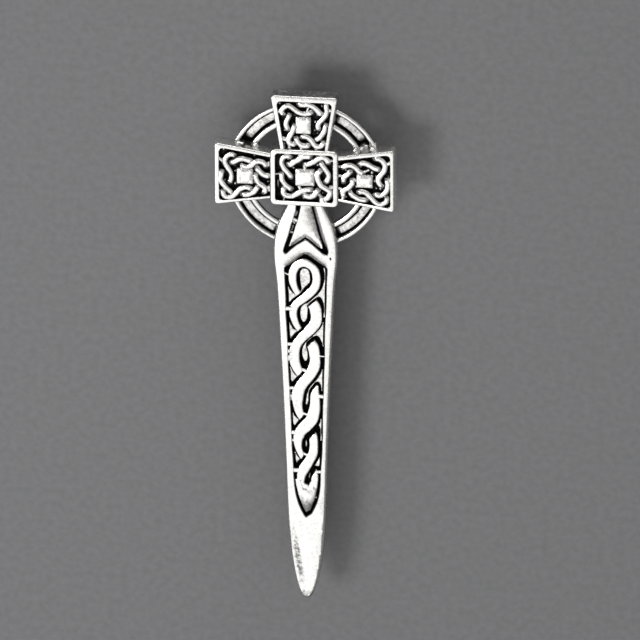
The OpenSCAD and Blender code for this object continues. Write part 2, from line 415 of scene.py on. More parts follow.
def centre_block():
    rim_x, rim_y = 0.92, 0.82
    bm = new_mesh()
    slab(bm, rectangle(BLOCK_HALF_X, BLOCK_HALF_Y, 1.0), rim_profile(BLOCK_TOP),
         [rectangle(BLOCK_HALF_X - rim_x, BLOCK_HALF_Y - rim_y, 0.6)], panel_profile(BLOCK_TOP))
    silver(bm, "centre_block")


def boss(name, x, y, top, across, along):
    """A square cast boss with broad bevels, its corners a little knocked."""
    a, b, low = across / 2, along / 2, top - PANEL_DEPTH
    bm = new_mesh()
    slab(bm, rounded([(x - a, y - b), (x + a * 0.3, y - b + 0.05), (x + a, y - b), (x + a - 0.05, y),
                      (x + a, y + b), (x - a, y + b - 0.05)], 0.25),
         [(0, low - 0.1, 1.0), (0, top - 0.62, 0.75), (0.04, top - 0.36, 0.2), (0.12, top - 0.23, 0.04),
          (0.62, top - 0.1, 0.02), (0.8, top - 0.08, 0)])
    weather(bm, 0.05, 0.9)
    silver(bm, name)


def ring():
    """The ring: two round-edged rims with a deep black channel between them."""
    channel = RING_TOP - 1.1
    edge = [(0.0, 0.2, 0.3), (0.04, 0.08, 0.06), (0.15, 0.0, 0.0)]
    rows = [(RING_INNER + BACK_EDGE, 0, 0.3), (RING_INNER, BACK_EDGE, 0.45)]
    for start, width in ((RING_INNER, 0.9), (RING_OUTER - 0.76, 0.76)):
        rows += [(start + d, RING_TOP - drop, tone) for d, drop, tone in edge]
        rows += [(start + width - d, RING_TOP - drop, tone) for d, drop, tone in reversed(edge)]
        if start == RING_INNER:
            rows += [(RING_INNER + 0.94, channel, 1.0), (RING_OUTER - 0.8, channel, 1.0)]
    rows += [(RING_OUTER, BACK_EDGE, 0.45), (RING_OUTER - BACK_EDGE, 0, 0.3)]
    bm = new_mesh()
    patina = bm.verts.layers.float["patina"]
    verts = []
    for r, z, tone in rows:
        v = bm.verts.new((r, 0, z))
        v[patina] = tone
        verts.append(v)
    edges = [bm.edges.new((verts[i - 1], verts[i])) for i in range(len(verts))]
    bmesh.ops.spin(bm, geom=verts + edges, axis=(0, 0, 1), angle=2 * pi, steps=240, use_merge=True)
    bmesh.ops.translate(bm, verts=bm.verts, vec=(0, RING_MIDDLE, 0))
    weather(bm)
    silver(bm, "ring")


STRIP_SECTION = both_flanks([
    (-0.5, BURIED, 1, 0), (-0.5, -0.12, 0.5, 1), (-0.45, -0.03, 0.28, 1), (-0.2, 0, 0.2, 1)])


def ring_strip(name, start, end):
    """A low strip in the channel between the rims, from one angle to another. Its ends are narrow and low."""
    middle, width, top = 11.86, 1.36, RING_TOP - 0.8
    count = int((end - start) / 1.2)  # a station every 1.2 degrees
    path = []
    for i in range(count + 1):
        a = radians(start + (end - start) * i / count)
        full = min(1, i / 2, (count - i) / 2)
        path.append((middle * cos(a), middle * sin(a) + RING_MIDDLE, top - 0.2 * (1 - full),
                     width * (0.8 + 0.2 * full), 0.4 * (1 - full)))
    bm = new_mesh()
    strand(bm, path, STRIP_SECTION)
    weather(bm)
    silver(bm, name)


# The knots, strand by strand as they show between the places where they pass beneath: width and middle line.
# Webs tie a strand to the rim, to the boss or to another strand (two ends, width, patina), and lumps are spots of
# metal left by the casting (middle, size, patina).
KNOTS = {
    "knot_centre": dict(top=BLOCK_TOP, runs=[
        (0.75, (-2.3, 3.68), (-2.85, 4), (-3.4, 3.8), (-3.75, 3.35), (-3.9, 2.8), (-3.75, 2.15), (-3.4, 1.5),
         (-2.95, 1), (-2.5, 0.5), (-2.35, 0.05), (-2.42, -0.25)),
        (0.85, (-2.85, 2.3), (-2.3, 2.5), (-1.65, 2.95), (-1, 3.35), (-0.5, 3.75), (0.05, 4.05), (0.8, 4.05),
         (1.25, 3.95)),
        (0.8, (0, 2.45), (0.6, 2.6), (1.25, 2.85), (1.9, 3.3), (2.5, 3.75), (3.15, 4), (3.7, 3.8), (4.1, 3.35),
         (4.25, 2.8)),
        (0.75, (2.9, 3.15), (3.15, 2.6), (3.55, 2), (3.95, 1.35), (4.2, 0.7), (4.15, 0.15), (4, -0.3), (3.6, -0.7)),
        (0.8, (2.95, 1.6), (2.4, 1), (2.25, 0.35), (2.4, -0.3), (2.7, -0.9), (3.15, -1.5), (3.8, -1.9),
         (4.35, -2.3), (4.4, -2.85), (4.15, -3.4), (3.7, -3.75), (3.15, -3.75)),
        (0.85, (2.5, -2.05), (2.05, -2.65), (1.6, -3.2), (0.95, -3.45), (0.35, -3.4), (-0.15, -3.1)),
        (0.8, (1.4, -2.2), (0.6, -2.2), (-0.05, -2.35), (-0.65, -2.65), (-1.3, -3.05), (-1.95, -3.4),
         (-2.65, -3.55), (-3.3, -3.4), (-3.6, -2.85), (-3.55, -2.3), (-3.4, -1.95)),
        (0.75, (-3.9, 0.75), (-3.85, 0.15), (-3.8, -0.5), (-3.5, -1.1), (-3.05, -1.65), (-2.5, -2), (-2.1, -2.25))],
        webs=[(-5.1, 0.5, -4, 0.62, 0.18, 0.2), (-0.75, 4, -0.75, 4.8, 0.5, 0.08),
        (0.35, 4.1, 0.35, 4.8, 1.3, 0.16), (4.2, 3.5, 5.2, 3.4, 0.35, 0.12), (4.3, -1.6, 5.2, -1.5, 0.8, 0.18),
        (3.1, -3.6, 3.1, -4.7, 1.1, 0.06), (3.7, -3.8, 3.75, -4.6, 0.4, 0.15),
        (-3.5, -3.6, -3.5, -4.5, 0.35, 0.32), (0.15, 1.4, 0.1, 2.5, 0.7, 0.22),
        (-0.9, -1.5, -0.65, -2.2, 0.55, 0.06), (-4.5, -0.5, -4.42, -1.9, 0.25, 0.5),
        (2.5, -2.9, 2.9, -3.5, 0.6, 0.25)],
        lumps=[(-1.85, 1.8, 0.24, 0.2), (2.35, 2.5, 0.28, 0.22), (-0.15, -3.85, 0.2, 0.4), (-2.8, 3.3, 0.15, 0.5),
        (-1.75, 0.4, 0.2, 0.45), (3.2, -2.7, 0.2, 0.45)]),
    "knot_top": dict(top=ARM_TOP, runs=[
        (0.75, (-3.5, 11.45), (-3.85, 12), (-3.8, 12.5), (-3.4, 13), (-2.8, 13.3), (-2.2, 13.05), (-1.6, 12.55),
         (-0.9, 12.1), (-0.1, 11.85), (0.7, 11.95), (1.4, 12.3)),
        (0.85, (-1.05, 13.45), (-0.3, 13.6), (0.5, 13.65), (1.2, 13.45), (1.8, 13.1), (2.3, 12.6), (2.7, 12.2),
         (3.15, 11.85)),
        (0.72, (3.8, 14.1), (3.85, 13.2), (3.9, 12.5), (3.7, 11.8), (3.25, 11.1), (2.7, 10.5), (2.4, 9.9),
         (2.45, 9.3), (2.55, 8.95)),
        (0.75, (3.8, 10.15), (3.6, 9.5), (3.5, 8.9), (3.2, 8.3), (2.8, 7.7), (2.3, 7.3), (1.85, 7.1)),
        (0.75, (3.25, 6.85), (3.15, 6.3), (2.8, 5.95), (2.2, 5.85), (1.7, 6.2), (1.4, 6.7), (1, 7.2), (0.5, 7.55),
         (-0.1, 7.6), (-0.45, 7.3)),
        (0.8, (-1.45, 7.4), (-1.2, 6.7), (-0.8, 6.2), (-0.3, 5.9), (0.4, 5.9), (0.95, 6.1)),
        (0.75, (-1.6, 9.8), (-1.85, 8.8), (-2.2, 8.1), (-2.55, 7.5), (-2.7, 6.9), (-2.5, 6.3), (-1.9, 6.1),
         (-1.5, 6.35)),
        (0.75, (-2.45, 11.7), (-2.8, 10.9), (-3.05, 10.3), (-3.1, 9.7), (-2.85, 9), (-2.6, 8.75))],
        webs=[(-5, 12, -3.8, 12.2, 0.55, 0.03), (4.1, 12.5, 5.2, 12.9, 0.5, 0.03),
        (0.4, 13.7, 0.4, 14.3, 1.2, 0.05), (0.75, 13.1, 0.5, 12.2, 0.38, 0.12), (-4.2, 7.2, -2.8, 6.8, 0.65, 0.04),
        (-2.6, 6.1, -2.5, 5, 0.55, 0.2), (-0.5, 6.1, -0.5, 5, 0.6, 0.05), (2.1, 5.8, 2.1, 5, 0.7, 0.25),
        (-3.4, 6.4, -3.35, 5.2, 0.25, 0.5), (0.3, 5.8, 0.2, 5, 0.35, 0.25)],
        lumps=[(1.9, 10.4, 0.28, 0.1), (-3.3, 8.65, 0.3, 0.3), (-1.3, 8.2, 0.18, 0.15), (1.8, 8.8, 0.25, 0.32),
        (2.3, 8.3, 0.25, 0.3), (-4.2, 13.6, 0.3, 0.35), (3.1, 13.45, 0.25, 0.28), (-1.6, 11.5, 0.25, 0.5),
        (2.3, 11.75, 0.25, 0.35), (1.3, 12.65, 0.2, 0.35)]),
    "knot_left": dict(top=ARM_TOP, runs=[
        (0.72, (-11.93, 3.42), (-12.5, 3.68), (-13.1, 3.5), (-13.55, 2.95), (-13.75, 2.3), (-13.5, 1.6),
         (-13.1, 0.95), (-12.75, 0.3), (-12.6, -0.4), (-12.7, -1.1), (-12.9, -1.7)),
        (0.75, (-14.2, 0.55), (-14.4, -0.4), (-14.5, -1.2), (-14.1, -1.9), (-13.65, -2.5), (-13.2, -2.95),
         (-12.85, -3.3), (-12.7, -3.75)),
        (0.75, (-14, -3.15), (-14.05, -3.7), (-13.75, -4.25), (-13.15, -4.45), (-12.5, -4.2), (-11.9, -3.7),
         (-11.45, -3.15), (-10.9, -2.65), (-10.2, -2.4), (-9.55, -2.5), (-9.1, -2.65)),
        (0.78, (-10.85, -3.82), (-9.95, -3.75), (-9.15, -3.5), (-8.6, -3.05), (-8.2, -2.45), (-8, -2.1)),
        (0.75, (-8.4, 0.25), (-8.4, -0.45), (-8.15, -1.15), (-7.75, -1.6), (-7.15, -2), (-6.8, -2.4),
         (-6.8, -2.85), (-7.1, -3.35)),
        (0.82, (-8.25, 1.5), (-7.85, 0.87), (-7.35, 0.4), (-6.8, 0), (-5.9, 0)),
        (0.78, (-10.9, 1.65), (-9.95, 1.42), (-9.2, 1.75), (-8.6, 2.3), (-8.05, 2.55), (-7.45, 2.5), (-7, 2.3),
         (-6.7, 1.9), (-6.65, 1.5)),
        (0.85, (-12.75, 2), (-12.1, 2.3), (-11.45, 2.7), (-10.8, 2.9), (-10.1, 2.85), (-9.55, 2.7), (-9.05, 2.45))],
        webs=[(-14.9, 3, -13.8, 2, 0.55, 0.04), (-15, -0.4, -14.3, -0.4, 1, 0.05),
        (-6.15, 2.6, -6.15, 1.8, 0.32, 0.1), (-6.1, -1.9, -6.1, -2.9, 0.4, 0.06),
        (-10.9, 1.8, -10.8, 0.9, 0.6, 0.08), (-9.7, 1.3, -9.6, 0.6, 0.4, 0.2), (-6.9, -2.3, -5.9, -2.2, 0.3, 0.25),
        (-14.4, -3.3, -14.9, -3.1, 0.3, 0.4)],
        lumps=[(-11.95, -1.8, 0.26, 0.12), (-8.6, -1.4, 0.25, 0.3), (-6.28, -1.15, 0.2, 0.3),
        (-13.75, -1.3, 0.25, 0.4), (-11.95, 0.6, 0.2, 0.25), (-8.75, -0.3, 0.25, 0.35), (-13.9, 4.55, 0.3, 0.28),
        (-8.6, 3.65, 0.25, 0.4), (-12, 1.6, 0.25, 0.5)]),
    "knot_right": dict(top=ARM_TOP, runs=[
        (0.78, (12.05, 4), (12.7, 4.1), (13.35, 3.8), (13.8, 3.25), (13.95, 2.6), (13.75, 1.9), (13.3, 1.25),
         (12.9, 0.6), (12.75, 0), (13, -0.65), (13.5, -1.1)),
        (0.8, (14.25, 0.4), (14.4, -0.5), (14.35, -1.25), (14.1, -1.9), (13.65, -2.45), (13.1, -2.75),
         (12.5, -2.65), (12.05, -2.8)),
        (0.78, (14.15, -3), (14.2, -3.6), (13.85, -4.1), (13.15, -4.4), (12.5, -4.3), (11.95, -3.8),
         (11.45, -3.25), (10.95, -2.65), (10.4, -2.3), (9.85, -2.2), (9.2, -2.35)),
        (0.78, (7.8, -2.3), (8.2, -2.85), (8.8, -3.3), (9.45, -3.6), (10.2, -3.75), (10.85, -3.65)),
        (0.78, (8.2, 0.1), (8.3, -0.65), (8, -1.2), (7.55, -1.6), (7, -2), (6.6, -2.35), (6.65, -2.85),
         (6.75, -3.4)),
        (0.78, (6.75, -0.7), (6.75, -0.1), (7, 0.5), (7.45, 0.95), (7.9, 1.45), (8.05, 1.65)),
        (0.8, (6.65, 1.9), (6.9, 2.4), (7.45, 2.65), (8.1, 2.65), (8.7, 2.3), (9.2, 1.8), (9.65, 1.45),
         (10.3, 1.2)),
        (0.82, (9.4, 2.85), (10.05, 3.15), (10.7, 3.1), (11.35, 2.75), (11.95, 2.4), (12.5, 2.2), (13.05, 2.15))],
        webs=[(13.9, 2.9, 15.05, 3.6, 0.6, 0.03), (14.3, 0.25, 15.1, 0.2, 0.9, 0.25),
        (10.2, 1.5, 11.2, 1.95, 0.4, 0.14), (5.8, 0.6, 6.9, 0.5, 0.4, 0.08), (5.8, 2.3, 6.7, 2.3, 0.4, 0.22),
        (5.8, -1.8, 6.5, -1.9, 0.45, 0.12), (6.7, -3.1, 6.55, -4.1, 0.55, 0.08), (8.3, -0.1, 9, -0.2, 0.5, 0.1),
        (12, -0.1, 12.6, 0.1, 0.4, 0.25), (9.3, 1.3, 9.4, 0.8, 0.5, 0.2)],
        lumps=[(7.2, 1.65, 0.25, 0.28), (12.4, -1.45, 0.2, 0.3), (13.1, -1.55, 0.32, 0.3), (11.65, 1.4, 0.35, 0.2),
        (12.4, 0.8, 0.25, 0.3), (8.95, -1.35, 0.26, 0.1), (14.5, 0.95, 0.25, 0.4), (14.35, 4.7, 0.3, 0.4),
        (9.7, 2.45, 0.25, 0.35), (7.2, -3.3, 0.25, 0.3), (11.9, 4.15, 0.25, 0.1)]),
}
KNOT_SECTION = both_flanks([
    (-0.5, BURIED, 1, 0), (-0.5, -0.45, 0.8, 1), (-0.48, -0.2, 0.3, 1), (-0.42, -0.085, 0.08, 1),
    (-0.26, -0.015, 0, 1), (0, 0, 0, 1)])


def run_on(path, reach):
    """The path led straight on at both its ends, by a point at half the reach and one at the full reach."""
    ends = []
    for here, back in ((path[0], path[2]), (path[-1], path[-3])):
        on = (Vector(here) - Vector(back)).normalized()
        ends.append([tuple(Vector(here) + on * reach * share) for share in (0.5, 1)])
    return ends[0][::-1] + path + ends[1]


def knot(name, top, runs, webs, lumps):
    """Round-backed strands whose ends sink where they pass beneath another, with their webs and lumps."""
    bm = new_mesh()
    for width, *points in runs:
        path = run_on(smooth_path(points, steps=6), reach=0.2)
        stations = []
        for x, y in path:
            to_end = min(hypot(x - path[k][0], y - path[k][1]) for k in (0, -1))
            sink = eased(to_end, 0.5, 0.0)  # over the last half millimetre
            stations.append((x, y, top - 0.04 - 0.26 * sink, width + 0.22 - 0.1 * sink, 0.45 * sink ** 2))
        strand(bm, stations, KNOT_SECTION)
    for *ends, width, tone in webs:
        strand(bm, straight(*ends, (0, 0.3, 0.7, 1), top - 0.14, width + 0.1, tone), KNOT_SECTION)
    for x, y, r, tone in lumps:
        corners = [(x + r * cos(a), y + r * sin(a)) for a in (0.3, 1.4, 2.3, 3.5, 4.4, 5.4)]
        slab(bm, rounded(corners, r * 0.4, 2),
             [(-0.05, top - PANEL_DEPTH - 0.1, 1), (0, top - 0.55, 0.6), (r * 0.25, top - 0.36, tone),
              (r * 0.5, top - 0.3, tone)])
    weather(bm, 0.06, 0.9)
    silver(bm, name)


# Metal left by the casting where the ring runs into the side arms, and three unpatinated lumps on the top arm's end
# wall whose bright colour is a painted highlight: outline, foot, top, patina
FILLETS_AND_PAINTED_HIGHLIGHTS = [
    ([(-12.15, 4), (-10.55, 3.9), (-10.5, 5.3), (-11.2, 5.42), (-12, 5.4)], 0.9, 2.3, 0.14),
    ([(-10.65, 3.9), (-9.1, 3.8), (-9.2, 4.9), (-10.5, 5)], 0.6, 1.7, 0.36),
    ([(-9.3, 3.8), (-8, 3.7), (-7.9, 4.9), (-8.3, 5.3), (-9.15, 5.4)], 0.9, 2.3, 0.12),
    ([(8.1, 3.9), (9.1, 4), (9.2, 5), (8.8, 5.4), (8.25, 5.2)], 0.9, 2.3, 0.12),
    ([(9, 4), (11, 4.3), (10.8, 5.7), (10.1, 5.9), (9.4, 5.5)], 0.6, 2, 0.24),
    ([(10.9, 4.3), (12.1, 4.5), (12.1, 5.3), (11.2, 5.6)], 0.9, 2.4, 0.06),
    ([(11, 5.4), (11.4, 5.4), (11.35, 6.3), (11, 6.5)], 0.9, 2.2, 0),
    ([(11.8, 5.6), (12.2, 5.4), (12.3, 5.9), (12, 6.4)], 0.9, 2.1, 0.05),
    # Painted highlights: bright lumps without patina at the foot of the top arm's end wall
    ([(-4.8, 14.8), (-3.2, 14.8), (-3.2, 15.22), (-4.8, 15.22)], 1.6, 2.2, 0),
    ([(3, 14.8), (4.7, 14.8), (4.7, 15.22), (3, 15.22)], 1.6, 2.2, 0),
    ([(1.9, 14.8), (2.4, 14.8), (2.4, 15.22), (1.9, 15.22)], 1.4, 1.8, 0)]


# Builds the fillets and the end wall's painted highlights
def fillets():
    bm = new_mesh()
    for corners, foot, top, tone in FILLETS_AND_PAINTED_HIGHLIGHTS:
        slab(bm, rounded(corners, 0.3, 4),
             [(-0.05, foot, 0.3), (0, top - 0.3, tone + 0.1), (0.08, top - 0.1, tone), (0.2, top, tone)])
    weather(bm, 0.1, 0.6)
    silver(bm, "ring_fillets_and_painted_highlights")


fillets()
# The wall tones differ per arm as painted light and shade: the side arms' walls are kept nearly bright as painted
# light, and the top arm's end wall is grey as painted shade
arm("arm_top", 0, BLOCK_HALF_Y, 15.1, (0.88, 0.8, 1.1), 0.32)
arm("arm_left", 90, BLOCK_HALF_X, 15.5, (0.58, 0.8, 0.86), 0.04)
arm("arm_right", -90, BLOCK_HALF_X, 15.5, (0.8, 0.58, 0.74), 0.04)
centre_block()
ring()
for name, start, end in (("strip_upper_right", 34, 63.5), ("strip_upper_left", 106, 148),
                         ("strip_lower_left", 195, 244), ("strip_lower_right", 296.5, 345)):
    ring_strip(name, start, end)
boss("boss_centre", 0.15, 0.1, BLOCK_TOP, 3.5, 3.35)
boss("boss_top", -0.15, 9.7, ARM_TOP, 2.8, 3.35)
boss("boss_left", -10.25, -0.3, ARM_TOP, 3.0, 3.1)
boss("boss_right", 10.4, -0.25, ARM_TOP, 3.0, 2.6)
for name, chart in KNOTS.items():
    knot(name, **chart)


# ---- blade

# All the blade's tables give x and the distance down from the middle of the cross. This is its right edge.
BLADE = [
    (2.9, 4.4), (3.12, 5.7), (4.28, 8.2), (4.9, 9.85), (5.38, 12.1), (5.52, 14), (5.48, 16.4), (5.05, 20.6),
    (4.7, 27.2), (4.1, 40.34), (3.62, 53.62), (3.52, 57.2), (3.41, 60.6), (3.28, 63.9), (3.13, 67.04),
    (2.93, 69.8), (2.67, 72.14), (2.37, 74.1), (2.06, 75.7), (1.76, 76.95), (1.48, 77.9), (1.22, 78.6),
    (0.96, 79.1), (0.7, 79.45), (0.45, 79.66), (0.18, 79.76)]
# Foot lines of the sunk panels and of a pit. A third value is the width of a sloping wall.
PANEL_LEFT = [
    (-0.25, 14.85, 0.3), (-1.1, 15.55, 0.28), (-2.1, 16.4, 0.25), (-2.9, 17.05, 0.2), (-3.58, 17.5), (-3.55, 18.6),
    (-3.5, 20), (-3.41, 22), (-3.35, 24.3), (-3.38, 26), (-3.25, 28), (-3.15, 30), (-3.07, 31.5), (-3.03, 33),
    (-3, 35.3), (-2.93, 37), (-2.83, 39), (-2.73, 41), (-2.67, 43), (-2.57, 45), (-2.5, 47), (-2.45, 49),
    (-2.39, 51), (-2.35, 52), (-2.21, 54), (-2.15, 55.5), (-2.15, 56.5), (-2.03, 58), (-1.93, 59), (-1.8, 60),
    (-1.57, 61), (-1.27, 62), (-0.88, 63), (-0.4, 64), (-0.05, 64.4)]
PANEL_RIGHT = [
    (0.35, 14.95, 0.55), (0.95, 15.35, 0.45), (1.7, 15.9, 0.4), (2.4, 16.4, 0.35), (3.1, 16.85, 0.25),
    (3.68, 17.4, 0.1), (3.67, 19.2), (3.6, 21), (3.57, 23), (3.5, 25), (3.37, 27), (3.28, 29), (3.24, 31),
    (3.23, 33), (3.21, 35), (3.1, 37), (3.05, 39), (3, 41), (2.9, 43), (2.85, 45), (2.84, 47), (2.83, 49),
    (2.75, 50.5), (2.72, 52), (2.59, 54), (2.47, 55.5), (2.41, 57), (2.37, 58.5), (2.19, 60), (1.97, 61),
    (1.63, 62), (1.21, 63), (0.85, 63.7)]
ARROW_PANEL = [
    (-1.5, 5.2), (-1.53, 6.1), (-1.6, 6.8), (-1.9, 7.8), (-2.13, 8.7), (-2.43, 9.5), (-2.66, 10.5), (-2.91, 11.5),
    (-3.17, 12.3), (-3.46, 13.2), (-3.75, 14.2), (-3.7, 14.6), (-3.45, 14.83), (-3.2, 14.7), (-2.5, 13.95),
    (-1.65, 13.17), (-0.78, 12.57), (0, 12.05), (0.5, 12.3), (1.37, 13), (2.23, 13.8), (3.05, 14.55), (3.4, 14.77),
    (3.78, 14.68), (3.92, 14.3), (3.82, 13.75, 0.1), (3.42, 13, 0.28), (3.05, 12.15, 0.36), (2.7, 11.1, 0.4),
    (2.45, 10.07, 0.4), (2.22, 9, 0.37), (1.97, 8.15, 0.36), (1.74, 7.1, 0.34), (1.5, 6.2, 0.34), (1.38, 5.7, 0.3),
    (1.25, 5.2, 0.02)]
PIT = [(4.25, 15.3), (4.4, 15.25), (4.47, 15.4), (4.4, 15.6), (4.27, 15.5)]
# The arrowhead's foot line. The third value is the width of its bevelled edge.
ARROW = [
    (-0.7, 5.2, 0.1), (0.98, 5.2, 0.3), (1.17, 6.2, 0.35), (1.42, 7.1, 0.42), (1.65, 8.15, 0.45), (1.9, 9.1, 0.45),
    (2.12, 10.05, 0.4), (2.38, 11.1, 0.3), (2.72, 12.15, 0.2), (2.98, 12.9, 0.12), (3.04, 13.45, 0.08),
    (2.97, 13.68, 0.08), (2.78, 13.62, 0.08), (2.26, 13.38, 0.3), (1.4, 12.65, 0.5), (0.65, 12, 0.65),
    (0, 11.62, 0.7), (-0.78, 12.22, 0.7), (-1.65, 12.86, 0.55), (-2.3, 13.25, 0.25), (-2.68, 13.45, 0.08),
    (-2.83, 13.35, 0.08), (-2.57, 12.33, 0.12), (-2.26, 11.46, 0.1), (-1.96, 10.5, 0.1), (-1.65, 9.37, 0.1),
    (-1.43, 8.76, 0.1), (-1.22, 7.9, 0.1), (-1, 6.93, 0.1)]


def down(points):
    """Points of the blade's tables, in the cross's frame."""
    return [(x, -y, *rest) for x, y, *rest in points]


def sloped(points):
    """A foot line from the tables, with a hair's slope where it names none."""
    return [(x, y, *(slope or [0.02])) for x, y, *slope in down(points)]


SOLID_END = -64.0  # y of the twist panel's foot


def crown(bm):
    """Rounds the solid end of the blade a little from edge to edge, and darkens its tip."""
    across, along, curve = 0.4, 0.6, 0.03
    cuts = ([((1, 0, 0), across * k) for k in range(-6, 7)]
            + [((0, 1, 0), SOLID_END - along * k) for k in range(26)])
    for normal, place in cuts:
        faces = [f for f in bm.faces if all(v.co.z > FACE - SAME_POINT for v in f.verts)
                 and any(v.co.y < SOLID_END for v in f.verts)]
        near = dict.fromkeys(g for f in faces for g in (f, *f.edges, *f.verts))
        bmesh.ops.bisect_plane(bm, geom=list(near), plane_co=Vector(normal) * place, plane_no=normal)
    patina = bm.verts.layers.float["patina"]
    for v in bm.verts:
        if v.co.y < SOLID_END and v.co.z > FACE - 0.4:
            v.co.z -= curve * v.co.x ** 2 * eased(v.co.y, SOLID_END, SOLID_END - 5)
            v[patina] += 0.3 * eased(-v.co.y, 77.2, 79.6)


def blade():
    edge = smooth_path(down(BLADE), 4)
    panel = smooth_path(sloped(PANEL_LEFT), 2) + smooth_path(sloped(PANEL_RIGHT), 2)[::-1]
    bm = new_mesh()
    slab(bm, [(-x, y) for x, y in edge] + edge[::-1],
         [(0.3, 0, 0.25), (0, 0.3, 0.3), (0, FACE * 0.6, 0.33), (0, FACE - 0.34, 0.22), (0.06, FACE - 0.17, 0.1),
          (0.17, FACE - 0.06, 0.02), (0.34, FACE, 0)],
         (panel, sloped(ARROW_PANEL), down(PIT)),
         [(-0.05, TWIST_FLOOR, 1.0, 0), (0, TWIST_FLOOR + 0.2, 0.95, 0), (0, FACE - 0.22, 0.45, 0.06),
          (0.01, FACE - 0.1, 0.22, 0.75), (0.05, FACE - 0.06, 0.12, 0.95), (0.12, FACE, 0, 1)])
    crown(bm)
    silver(bm, "blade")


def arrowhead():
    bm = new_mesh()
    slab(bm, down(ARROW), [
        (-0.04, TWIST_FLOOR - 0.05, 1, 0), (0, TWIST_FLOOR + 0.3, 0.85, 0), (0, FACE - 0.15, 0.38, 0.06),
        (0, FACE - 0.05, 0.14, 0.85), (0, FACE - 0.01, 0, 1)])
    silver(bm, "arrowhead")


